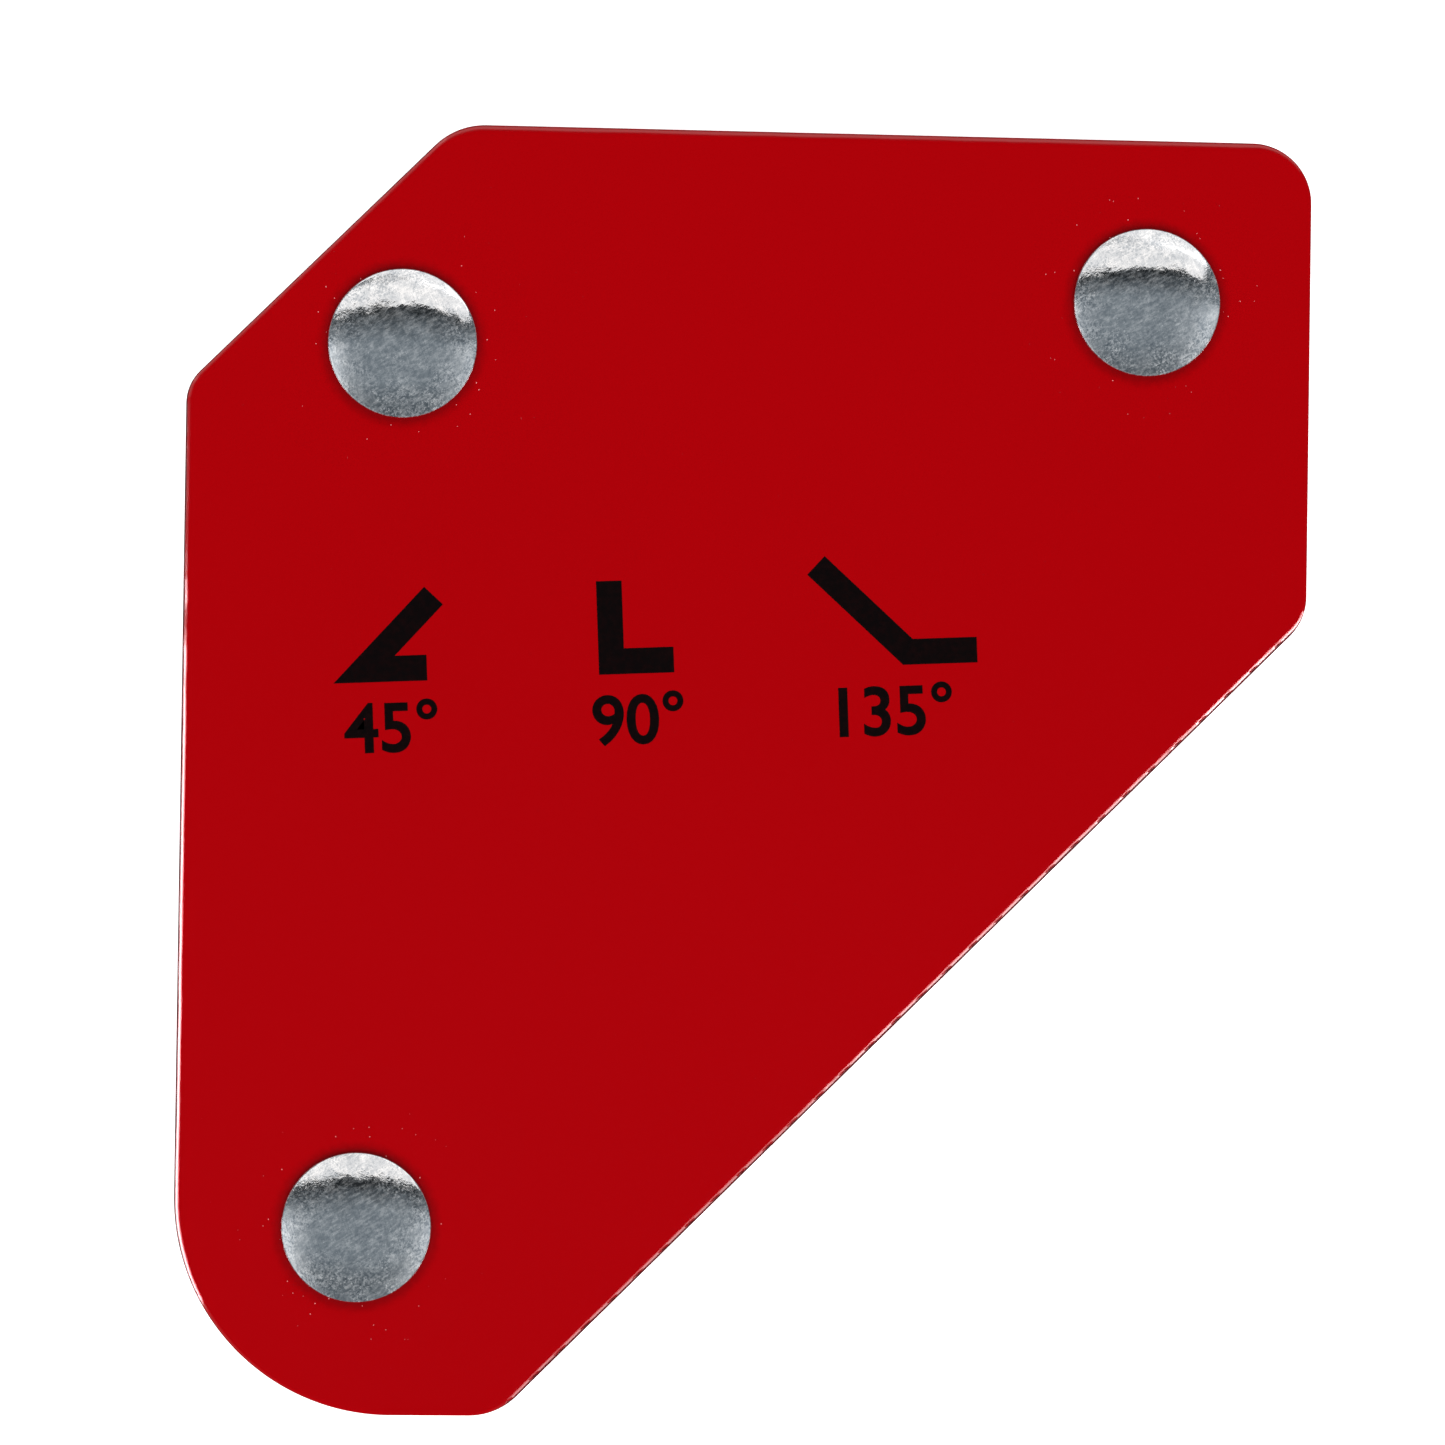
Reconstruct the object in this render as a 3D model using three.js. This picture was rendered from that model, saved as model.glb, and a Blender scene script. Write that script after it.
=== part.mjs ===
// Fixed welding magnet holder: two stamped steel side plates, riveted over spacer
// sleeves, with ferrite magnet blocks glued between them.
//
// Millimetres. The holder lies on the tails of its rivets, front plate up. X runs along
// the long pole face, Y along the left pole face. The origin is on the ground, in the
// middle of the plates' overall width and height.

import * as THREE from "three";

// --- Driving dimensions ---------------------------------------------------------------

const PLATE_WIDTH = 75;
const PLATE_HEIGHT = 85.5;
const PLATE_THICKNESS = 2;
const PLATE_GAP = 9; // length of a spacer sleeve and thickness of a magnet block

const CORNER_CUT = 17.6; // each leg of the 45 degree cut at the upper left corner
const RIGHT_EDGE_LENGTH = 32; // from the upper right corner down to the diagonal

// Radii of the outline's corners, where the two straight edges named meet.
const RADIUS = {
  leftToBottom: 14.4,
  diagonalToBottom: 4.5,
  rightToDiagonal: 3.7,
  topToRight: 4,
  cutToTop: 4.8,
  leftToCut: 3,
};

// Each rivet's distance from the edges that it sits next to.
const RIVET_INSET = {
  upper_left: { fromLeft: 14.2, fromTop: 14.65 },
  upper_right: { fromRight: 11.1, fromTop: 10.9 },
  lower_left: { fromLeft: 12, fromBottom: 12.4 },
};

const SHANK_RADIUS = 3;
const HEAD_RADIUS = 5;
const HEAD_HEIGHT = 1.5;
const HEAD_RIM = 0.35; // straight side of the head under its dome
const TAIL_RADIUS = 4.5;
const TAIL_HEIGHT = 1.5;
const TAIL_RIM = 0.5;
const TAIL_FLAT_RADIUS = 2.5; // flat that the riveting die leaves on the tail

const FIT_CLEARANCE = 0.3; // between a shank and what it passes through
const SLEEVE_RADIUS = 5;

const MAGNET_LENGTH = 20;
const MAGNET_WIDTH = 15;
const MAGNET_SETBACK = 3.5; // from a pole face to the magnets behind it
const MAGNET_SPACING = 0.5; // between two blocks of a row
const DIAGONAL_ROW_SHIFT = 1; // slides the diagonal row up along its pole face

const ARC_STEPS = 8; // straight pieces in a corner's arc
const ROUND_STEPS = 32; // sides of a rivet, a sleeve or a hole
const DOME_STEPS = 6; // rings in a rivet's dome

// --- Places worked out from them ------------------------------------------------------

const LEFT = -PLATE_WIDTH / 2;
const RIGHT = PLATE_WIDTH / 2;
const BOTTOM = -PLATE_HEIGHT / 2;
const TOP = PLATE_HEIGHT / 2;

const REAR_PLATE_Z = TAIL_HEIGHT;
const INNER_Z = REAR_PLATE_Z + PLATE_THICKNESS; // inner face of the rear plate
const FRONT_PLATE_Z = INNER_Z + PLATE_GAP;
const FRONT_FACE_Z = FRONT_PLATE_Z + PLATE_THICKNESS;
const HOLE_RADIUS = SHANK_RADIUS + FIT_CLEARANCE;

const DIAGONAL_LEG = PLATE_HEIGHT - RIGHT_EDGE_LENGTH;
const DIAGONAL_FOOT_X = RIGHT - DIAGONAL_LEG;
const DIAGONAL_ANGLE = Math.PI / 4;

const RIVET_PLACES = {
  upper_left: [LEFT + RIVET_INSET.upper_left.fromLeft, TOP - RIVET_INSET.upper_left.fromTop],
  upper_right: [RIGHT - RIVET_INSET.upper_right.fromRight, TOP - RIVET_INSET.upper_right.fromTop],
  lower_left: [LEFT + RIVET_INSET.lower_left.fromLeft, BOTTOM + RIVET_INSET.lower_left.fromBottom],
};

// --- Materials ------------------------------------------------------------------------

const redPaint = new THREE.MeshStandardMaterial({ color: 0xaa0009, roughness: 0.25, metalness: 0 });
const zincPlate = new THREE.MeshStandardMaterial({ color: 0x9aa3ab, roughness: 0.35, metalness: 1 });
const mildSteel = new THREE.MeshStandardMaterial({ color: 0x8f8f8b, roughness: 0.5, metalness: 1 });
const ferrite = new THREE.MeshStandardMaterial({ color: 0x2b2a2c, roughness: 0.7, metalness: 0 });

// --- Side plates ----------------------------------------------------------------------

// The outline's corners in order, anticlockwise, each as a point with its radius.
function outlineCorners() {
  return [
    { point: [LEFT, BOTTOM], radius: RADIUS.leftToBottom },
    { point: [DIAGONAL_FOOT_X, BOTTOM], radius: RADIUS.diagonalToBottom },
    { point: [RIGHT, TOP - RIGHT_EDGE_LENGTH], radius: RADIUS.rightToDiagonal },
    { point: [RIGHT, TOP], radius: RADIUS.topToRight },
    { point: [LEFT + CORNER_CUT, TOP], radius: RADIUS.cutToTop },
    { point: [LEFT, TOP - CORNER_CUT], radius: RADIUS.leftToCut },
  ].map(({ point, radius }) => ({ point: new THREE.Vector2(...point), radius }));
}

// Points of the arc that rounds a corner between the corners before and after it.
function cornerArc(before, corner, after) {
  const toBefore = before.point.clone().sub(corner.point).normalize();
  const toAfter = after.point.clone().sub(corner.point).normalize();
  const halfAngle = Math.acos(toBefore.dot(toAfter)) / 2;
  const bisector = toBefore.clone().add(toAfter).normalize();
  const centre = corner.point.clone().addScaledVector(bisector, corner.radius / Math.sin(halfAngle));
  const tangentLength = corner.radius / Math.tan(halfAngle);
  const start = corner.point.clone().addScaledVector(toBefore, tangentLength).sub(centre);
  const sweep = Math.PI - 2 * halfAngle;
  return Array.from({ length: ARC_STEPS + 1 }, (_, step) =>
    start.clone().rotateAround(new THREE.Vector2(), (sweep * step) / ARC_STEPS).add(centre));
}

function plateShape() {
  const corners = outlineCorners();
  const points = corners.flatMap((corner, i) => {
    const before = corners[(i + corners.length - 1) % corners.length];
    const after = corners[(i + 1) % corners.length];
    return cornerArc(before, corner, after);
  });
  const shape = new THREE.Shape(points);
  for (const [x, y] of Object.values(RIVET_PLACES)) {
    const hole = Array.from({ length: ROUND_STEPS }, (_, step) => {
      const angle = (-2 * Math.PI * step) / ROUND_STEPS;
      return new THREE.Vector2(x + HOLE_RADIUS * Math.cos(angle), y + HOLE_RADIUS * Math.sin(angle));
    });
    shape.holes.push(new THREE.Path(hole));
  }
  return shape;
}

function sidePlate(name, z) {
  const geometry = new THREE.ExtrudeGeometry(plateShape(), { depth: PLATE_THICKNESS, bevelEnabled: false });
  const plate = new THREE.Mesh(geometry, redPaint);
  plate.name = name;
  plate.position.z = z;
  return plate;
}

// --- Rivets and spacer sleeves --------------------------------------------------------

// A solid of revolution about Z from [radius, z] pairs.
function turned(profile) {
  const points = profile.map(([radius, z]) => new THREE.Vector2(radius, z));
  return new THREE.LatheGeometry(points, ROUND_STEPS).rotateX(Math.PI / 2);
}

// [radius, z] pairs of a dome's quarter ellipse, from its rim to where it meets endRadius.
function dome(rimRadius, rimZ, crownZ, endRadius) {
  return Array.from({ length: DOME_STEPS + 1 }, (_, step) => {
    const radius = rimRadius + ((endRadius - rimRadius) * step) / DOME_STEPS;
    const rise = Math.sqrt(1 - ((radius - endRadius) / (rimRadius - endRadius)) ** 2);
    return [radius, rimZ + (crownZ - rimZ) * rise];
  });
}

function rivet(name, [x, y]) {
  const headTop = FRONT_FACE_Z + HEAD_HEIGHT;
  const tailDome = dome(TAIL_RADIUS, TAIL_HEIGHT - TAIL_RIM, 0, TAIL_FLAT_RADIUS);
  const profile = [
    [0, 0],
    ...tailDome.reverse(),
    [TAIL_RADIUS, TAIL_HEIGHT],
    [SHANK_RADIUS, TAIL_HEIGHT],
    [SHANK_RADIUS, FRONT_FACE_Z],
    [HEAD_RADIUS, FRONT_FACE_Z],
    ...dome(HEAD_RADIUS, FRONT_FACE_Z + HEAD_RIM, headTop, 0),
  ];
  const mesh = new THREE.Mesh(turned(profile), zincPlate);
  mesh.name = name;
  mesh.position.set(x, y, 0);
  return mesh;
}

function spacerSleeve(name, [x, y]) {
  const profile = [
    [HOLE_RADIUS, 0],
    [SLEEVE_RADIUS, 0],
    [SLEEVE_RADIUS, PLATE_GAP],
    [HOLE_RADIUS, PLATE_GAP],
    [HOLE_RADIUS, 0],
  ];
  const mesh = new THREE.Mesh(turned(profile), mildSteel);
  mesh.name = name;
  mesh.position.set(x, y, INNER_Z);
  return mesh;
}

// --- Magnets --------------------------------------------------------------------------

// Two blocks in a row centred on a place. alongRow is a block's size along the row and
// acrossRow its size across it; angle turns the row from the X axis.
function magnetRow(rowName, [x, y], angle, alongRow, acrossRow) {
  const row = new THREE.Group();
  row.position.set(x, y, INNER_Z + PLATE_GAP / 2);
  row.rotation.z = angle;
  for (const side of [-1, 1]) {
    const geometry = new THREE.BoxGeometry(alongRow, acrossRow, PLATE_GAP);
    const block = new THREE.Mesh(geometry, ferrite);
    block.name = `ferrite_magnet_${rowName}_${side < 0 ? 1 : 2}`;
    block.position.x = (side * (alongRow + MAGNET_SPACING)) / 2;
    row.add(block);
  }
  return row;
}

function magnets() {
  const [upperLeftX, upperLeftY] = RIVET_PLACES.upper_left;
  const [upperRightX] = RIVET_PLACES.upper_right;
  const [, lowerLeftY] = RIVET_PLACES.lower_left;

  const topRow = [(upperLeftX + upperRightX) / 2, TOP - MAGNET_SETBACK - MAGNET_LENGTH / 2];
  const leftRow = [LEFT + MAGNET_SETBACK + MAGNET_WIDTH / 2, (upperLeftY + lowerLeftY) / 2];

  const diagonalMiddle = new THREE.Vector2(RIGHT - DIAGONAL_LEG / 2, BOTTOM + DIAGONAL_LEG / 2);
  const alongDiagonal = new THREE.Vector2(Math.cos(DIAGONAL_ANGLE), Math.sin(DIAGONAL_ANGLE));
  const inward = new THREE.Vector2(-alongDiagonal.y, alongDiagonal.x);
  const diagonalRow = diagonalMiddle
    .addScaledVector(inward, MAGNET_SETBACK + MAGNET_WIDTH / 2)
    .addScaledVector(alongDiagonal, DIAGONAL_ROW_SHIFT);

  return [
    magnetRow("top", topRow, 0, MAGNET_WIDTH, MAGNET_LENGTH),
    magnetRow("left", leftRow, Math.PI / 2, MAGNET_LENGTH, MAGNET_WIDTH),
    magnetRow("diagonal", diagonalRow.toArray(), DIAGONAL_ANGLE, MAGNET_LENGTH, MAGNET_WIDTH),
  ];
}

// --- The holder -----------------------------------------------------------------------

const holder = new THREE.Group();
holder.add(sidePlate("rear_plate", REAR_PLATE_Z));
holder.add(sidePlate("front_plate", FRONT_PLATE_Z));
for (const [place, position] of Object.entries(RIVET_PLACES)) {
  holder.add(rivet(`rivet_${place}`, position));
  holder.add(spacerSleeve(`spacer_sleeve_${place}`, position));
}
holder.add(...magnets());

export default holder;
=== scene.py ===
"""Looks of the welding magnet holder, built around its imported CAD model."""
import math

import bmesh
import bpy
from mathutils import Matrix, Vector, noise


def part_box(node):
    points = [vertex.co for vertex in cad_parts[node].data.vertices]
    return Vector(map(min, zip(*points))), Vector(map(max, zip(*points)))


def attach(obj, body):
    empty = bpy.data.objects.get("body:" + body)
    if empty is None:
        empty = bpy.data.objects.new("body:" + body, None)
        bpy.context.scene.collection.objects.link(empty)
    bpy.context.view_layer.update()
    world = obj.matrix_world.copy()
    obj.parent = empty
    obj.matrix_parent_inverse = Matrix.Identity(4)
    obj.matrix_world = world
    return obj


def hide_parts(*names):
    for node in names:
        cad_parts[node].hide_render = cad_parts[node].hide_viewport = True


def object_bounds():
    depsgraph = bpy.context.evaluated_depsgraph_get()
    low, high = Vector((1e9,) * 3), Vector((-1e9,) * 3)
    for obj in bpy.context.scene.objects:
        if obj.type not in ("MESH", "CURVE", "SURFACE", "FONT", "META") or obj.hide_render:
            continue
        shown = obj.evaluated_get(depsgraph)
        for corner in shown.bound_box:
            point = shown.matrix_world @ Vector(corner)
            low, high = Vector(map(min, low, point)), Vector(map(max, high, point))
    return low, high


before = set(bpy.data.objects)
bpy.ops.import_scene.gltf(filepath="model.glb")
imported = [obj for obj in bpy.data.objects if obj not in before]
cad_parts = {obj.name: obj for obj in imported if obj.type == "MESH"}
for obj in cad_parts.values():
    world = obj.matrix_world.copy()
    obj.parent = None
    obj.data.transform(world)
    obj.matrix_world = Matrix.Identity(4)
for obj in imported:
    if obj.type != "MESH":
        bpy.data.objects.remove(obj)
CAD_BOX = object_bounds()
BODY = "root"
MM = 0.001

# --- Driving dimensions, millimetres unless they say otherwise -------------------------

# Outline of a side plate: the 45 degree cut, the right edge and the corner radii.
CORNER_CUT = 17.6
RIGHT_EDGE_LENGTH = 32
RADIUS_LEFT_TO_BOTTOM = 14.4
RADIUS_DIAGONAL_TO_BOTTOM = 4.5
RADIUS_RIGHT_TO_DIAGONAL = 3.7
RADIUS_TOP_TO_RIGHT = 4.0
RADIUS_CUT_TO_TOP = 4.8
RADIUS_LEFT_TO_CUT = 3.0
OUTLINE_STEP = 0.25

# Sheared edge of a plate: the die rolls its outer face over, then cuts and tears through.
ROLLOVER_WIDTH = 0.42
ROLLOVER_DROP = 0.42
ROLLOVER_SLOPE = math.radians(30)
ROLLOVER_SHOULDER = 0.14  # width of the steep part between the slope and the cut wall
# How much of the width each edge has: bottom, diagonal, right, top, cut, left.
ROLLOVER_SHARES = (0.3, 0.95, 0.3, 1.0, 0.75, 0.85)
ROLLOVER_RAGGED = 0.08  # share by which its width wanders along an edge
ROLLOVER_SAG = 0.05  # share by which its depth wanders
FACE_BORDER = 0.3
CUT_SHARE = 0.62  # share of the thickness that is cut before the rest tears
TEAR_OUT = 0.05
BURR = 0.06
EDGE_WOBBLE = 0.03
SHEAR_MARK_SPACING = 2.4
SHEAR_MARK_WIDTH = 0.22
SHEAR_MARK_DEPTH = 0.06
SHEAR_MARK_DROP = 0.3  # share of its depth by which a mark also sinks the face

# The plate is dished a little under each rivet head.
DISH_DEPTH = 0.05
DISH_RADIUS = 6.6

HEAD_RADIUS = 5.0
HEAD_RIM = 0.35
HEAD_EDGE_RADIUS = 0.14
SHANK_RADIUS = 3.0
TAIL_RADIUS = 4.5
TAIL_FLAT_RADIUS = 2.5
HOLE_RADIUS = 3.3
HOLE_CHAMFER = 0.1
ROUND_SIDES = 160  # of each rivet, sleeve and hole
# Depth and wavelength of the dents in a head or tail, and of its tumbling marks, and how
# far from the rim they begin to die away.
DENTS = ((0.05, 3.6), (0.014, 1.4))
DENT_MARGIN = 2.4
TUMBLING_MARKS = ((0.005, 0.55), (0.0025, 0.28))
TUMBLING_MARGIN = 0.4

SLEEVE_RADIUS = 5.0
SLEEVE_CHAMFER = 0.3
SLEEVE_MARK_DEPTH = 0.02

MAGNET_CHIP = 0.5
MAGNET_CUTS = 26  # rows of a block's mesh

INK_THICKNESS = 0.015

# Camera, as it stood over the front plate.
CAMERA_DISTANCE = 400
CAMERA_AIM = (-1.69, 3.33)  # point of the plate at the middle of the view, from its centre
CAMERA_LEAN_LEFT = math.radians(4.96)
CAMERA_LEAN_DOWN = math.radians(0.94)
CAMERA_ROLL = math.radians(0.8)
VIEW_HEIGHT = 96.0  # height of the plate's plane that the view takes in
SENSOR = 36.0


# --- Places taken from the CAD model ----------------------------------------------------

def corners_of(node):
    """Lowest and highest corner of a CAD node, in millimetres."""
    low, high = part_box(node)
    return Vector(low) / MM, Vector(high) / MM


PLATE_LOW, PLATE_HIGH = corners_of("front_plate")
REAR_LOW = corners_of("rear_plate")[0]
PLATE_THICKNESS = PLATE_HIGH.z - PLATE_LOW.z
PLATE_MIDDLE = ((PLATE_LOW + PLATE_HIGH) / 2).xy
RIVET_PLACES = ("upper_left", "upper_right", "lower_left")


def centre_of(node):
    low, high = corners_of(node)
    return (low + high) / 2


RIVET_CENTRES = [centre_of(f"rivet_{place}").xy for place in RIVET_PLACES]


# --- Mesh helpers -----------------------------------------------------------------------

def wander(point, wavelength, seed):
    """Smooth noise between about -1 and 1, for a point in millimetres."""
    return noise.noise(Vector(point) / wavelength + Vector((seed * 17.3, seed * 5.1, seed * 9.7)))


def relief_height(point, waves, seed):
    """Sum of smooth noises, each wave a depth and a wavelength in millimetres."""
    return sum(depth * wander(point, wavelength, seed + i) for i, (depth, wavelength) in enumerate(waves))


def directions_round(count):
    """Plane unit vectors at even steps round a circle."""
    turns = [2 * math.pi * i / count for i in range(count)]
    return [Vector((math.cos(turn), math.sin(turn))) for turn in turns]


def add_loop(mesh, points):
    return [mesh.verts.new(point) for point in points]


def join_loops(mesh, first, second):
    """A band of quads between two closed loops of the same number of vertices."""
    count = len(first)
    for i in range(count):
        after = (i + 1) % count
        mesh.faces.new((first[i], first[after], second[after], second[i]))


def join_in_turn(mesh, loops):
    for first, second in zip(loops, loops[1:]):
        join_loops(mesh, first, second)


def cap_loop(mesh, loop, centre):
    """Closes a loop with a fan of triangles round a middle point."""
    middle = mesh.verts.new(centre)
    for i, vertex in enumerate(loop):
        mesh.faces.new((vertex, loop[(i + 1) % len(loop)], middle))


def fill_between(mesh, loops):
    """Fills the flat face bounded by an outer loop and the hole loops inside it."""
    edges = []
    for loop in loops:
        edges += [mesh.edges.get((loop[i - 1], loop[i])) for i in range(len(loop))]
    bmesh.ops.triangle_fill(mesh, edges=edges, use_beauty=True, use_dissolve=False)


def finished_piece(mesh, name, material, replaces=(), sharp_degrees=40):
    """Turns a bmesh in millimetres into a shown piece in metres that rides on the body."""
    bmesh.ops.recalc_face_normals(mesh, faces=mesh.faces)
    bmesh.ops.scale(mesh, vec=(MM, MM, MM), verts=mesh.verts)
    data = bpy.data.meshes.new(name)
    mesh.to_mesh(data)
    mesh.free()
    data.shade_smooth()
    data.set_sharp_from_angle(angle=math.radians(sharp_degrees))
    data.materials.append(material)
    piece = bpy.data.objects.new(name, data)
    bpy.context.scene.collection.objects.link(piece)
    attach(piece, BODY)
    if replaces:
        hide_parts(*replaces)
    return piece


# --- Material helpers -------------------------------------------------------------------

class Nodes:
    """A short way to write a material's node tree."""

    def __init__(self, name):
        self.material = bpy.data.materials.new(name)
        self.material.use_nodes = True
        self.tree = self.material.node_tree
        self.shader = self.tree.nodes["Principled BSDF"]
        self.place = self.add("ShaderNodeTexCoord").outputs["Object"]

    def add(self, kind, **settings):
        node = self.tree.nodes.new(kind)
        for key, value in settings.items():
            setattr(node, key, value)
        return node

    def link(self, source, target):
        self.tree.links.new(source, target)

    def put(self, socket, value):
        """Links a node's output to a socket, or sets the socket's own value."""
        if isinstance(value, bpy.types.NodeSocket):
            self.link(value, socket)
        else:
            socket.default_value = value

    def noise(self, wavelength, detail=2.0, roughness=0.5, stretch=(1, 1, 1), turn=0.0):
        """Noise texture with features about as long as wavelength, in millimetres.

        stretch draws them out along the axes, after those are turned about Z.
        """
        node = self.add("ShaderNodeTexNoise")
        mapping = self.add("ShaderNodeMapping", vector_type="TEXTURE")
        mapping.inputs["Scale"].default_value = stretch
        mapping.inputs["Rotation"].default_value = (0, 0, math.radians(turn))
        self.link(self.place, mapping.inputs["Vector"])
        self.link(mapping.outputs["Vector"], node.inputs["Vector"])
        node.inputs["Scale"].default_value = 1 / (wavelength * MM)
        node.inputs["Detail"].default_value = detail
        node.inputs["Roughness"].default_value = roughness
        return node.outputs["Fac"]

    def cells(self, size, output="Distance"):
        node = self.add("ShaderNodeTexVoronoi", feature="F1")
        self.link(self.place, node.inputs["Vector"])
        node.inputs["Scale"].default_value = 1 / (size * MM)
        return node.outputs[output]

    def ramp(self, value, start, end, low=0.0, high=1.0):
        """Smooth step of value from start to end, giving low to high."""
        node = self.add("ShaderNodeMapRange", interpolation_type="SMOOTHSTEP")
        for socket, number in zip(("From Min", "From Max", "To Min", "To Max"), (start, end, low, high)):
            node.inputs[socket].default_value = number
        self.put(node.inputs["Value"], value)
        return node.outputs["Result"]

    def math(self, operation, first, second):
        node = self.add("ShaderNodeMath", operation=operation)
        self.put(node.inputs[0], first)
        self.put(node.inputs[1], second)
        return node.outputs["Value"]

    def mix(self, factor, first, second):
        """Colour mix of two (r, g, b) values or outputs."""
        node = self.add("ShaderNodeMix", data_type="RGBA")
        self.put(node.inputs[0], factor)
        for index, colour in ((6, first), (7, second)):
            self.put(node.inputs[index], (*colour, 1.0) if isinstance(colour, tuple) else colour)
        return node.outputs[2]

    def along(self, axis):
        """Place along an axis, "X", "Y" or "Z", in metres."""
        split = self.add("ShaderNodeSeparateXYZ")
        self.link(self.place, split.inputs["Vector"])
        return split.outputs[axis]

    def distance_to(self, points):
        """Distance across the plates' plane to the nearest of some points, in metres."""
        nearest = None
        for x, y in points:
            flat = self.add("ShaderNodeVectorMath", operation="MULTIPLY")
            self.link(self.place, flat.inputs[0])
            flat.inputs[1].default_value = (1, 1, 0)
            away = self.add("ShaderNodeVectorMath", operation="DISTANCE")
            self.link(flat.outputs["Vector"], away.inputs[0])
            away.inputs[1].default_value = (x * MM, y * MM, 0)
            distance = away.outputs["Value"]
            nearest = distance if nearest is None else self.math("MINIMUM", nearest, distance)
        return nearest

    def bump(self, height, depth, below=None):
        """Adds relief of a depth in millimetres, on top of an earlier bump if given."""
        node = self.add("ShaderNodeBump")
        node.inputs["Strength"].default_value = 1.0
        node.inputs["Distance"].default_value = depth * MM
        self.link(height, node.inputs["Height"])
        if below is not None:
            self.link(below, node.inputs["Normal"])
        return node.outputs["Normal"]

    def finish(self, **sockets):
        for name, value in sockets.items():
            value = (*value, 1.0) if isinstance(value, tuple) else value
            self.put(self.shader.inputs[name.replace("_", " ")], value)
        return self.material


# --- Materials --------------------------------------------------------------------------

PAINT_RED = (0.277, 0.0, 0.0012)
PAINT_RED_THIN = (0.26, 0.0015, 0.002)
# Painted shade, laid on the paint along the arris and round the rivet heads.
PAINT_RED_SHADE = (0.05, 0.0, 0.0005)
DUST = (0.6, 0.22, 0.22)


def red_paint(name, outer_face_z, outward):
    """Gloss red stoving paint: faint orange peel, thin on the arris, dust by the rivets, with painted
    shade along the arris and round the rivet heads.
    """
    nodes = Nodes(name)
    peel = nodes.noise(1.6, detail=1.0)
    fine = nodes.noise(0.5, detail=2.0)
    above_face = nodes.math("SUBTRACT", nodes.along("Z"), outer_face_z * MM)
    below_face = nodes.math("MULTIPLY", above_face, -outward)
    on_edge = nodes.ramp(below_face, 0.01 * MM, 0.12 * MM)
    arris = nodes.math(
        "MULTIPLY",
        nodes.ramp(below_face, 0.125 * MM, 0.165 * MM),
        nodes.ramp(below_face, 0.42 * MM, 0.6 * MM, 1.0, 0.0),
    )
    # The top edge kept a thicker coat than the others, and has less of the painted shade along its arris.
    top = PLATE_HIGH.y
    thick_coat_less_shade = nodes.ramp(nodes.along("Y"), (top - 2) * MM, (top - 0.5) * MM, 1.0, 0.15)
    arris = nodes.math("MULTIPLY", arris, thick_coat_less_shade)
    to_rivet = nodes.distance_to(RIVET_CENTRES)
    ragged = nodes.math("ADD", to_rivet, nodes.math("MULTIPLY", fine, 0.5 * MM))
    # Painted shade: the paint darkens in a ragged ring round each rivet head, where the head shades it.
    shade_round_heads = nodes.ramp(ragged, (HEAD_RADIUS + 0.2) * MM, (HEAD_RADIUS + 1.1) * MM, 1.0, 0.0)
    near_rivet = nodes.ramp(to_rivet, (HEAD_RADIUS + 0.5) * MM, (HEAD_RADIUS + 5) * MM, 0.06, 0.01)
    speck = nodes.math("LESS_THAN", nodes.cells(0.65), near_rivet)
    colour = nodes.mix(nodes.math("MULTIPLY", on_edge, 0.5), PAINT_RED, PAINT_RED_THIN)
    # Painted shade: a dark line along the arris, where the edge turns away into shade.
    colour = nodes.mix(nodes.math("MULTIPLY", arris, 0.9), colour, PAINT_RED_SHADE)
    # Painted shade round the rivet heads.
    colour = nodes.mix(nodes.math("MULTIPLY", shade_round_heads, 0.4), colour, PAINT_RED_SHADE)
    colour = nodes.mix(speck, colour, DUST)
    roughness = nodes.ramp(arris, 0.0, 1.0, 0.07, 0.3)
    relief = nodes.bump(peel, 0.004)
    relief = nodes.bump(fine, 0.0015, below=relief)
    # The paint draws back into a glossier bead along the rolled edge, and thins on the arris.
    gloss = nodes.ramp(on_edge, 0.0, 1.0, 0.2, 0.5)
    gloss = nodes.math("MULTIPLY", gloss, nodes.ramp(arris, 0.0, 1.0, 1.0, 0.2))
    reflection = nodes.mix(on_edge, (1.0, 0.2, 0.25), (1.0, 0.86, 0.87))
    return nodes.finish(Base_Color=colour, Roughness=roughness, Normal=relief, Specular_IOR_Level=gloss,
                        Specular_Tint=reflection)


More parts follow.
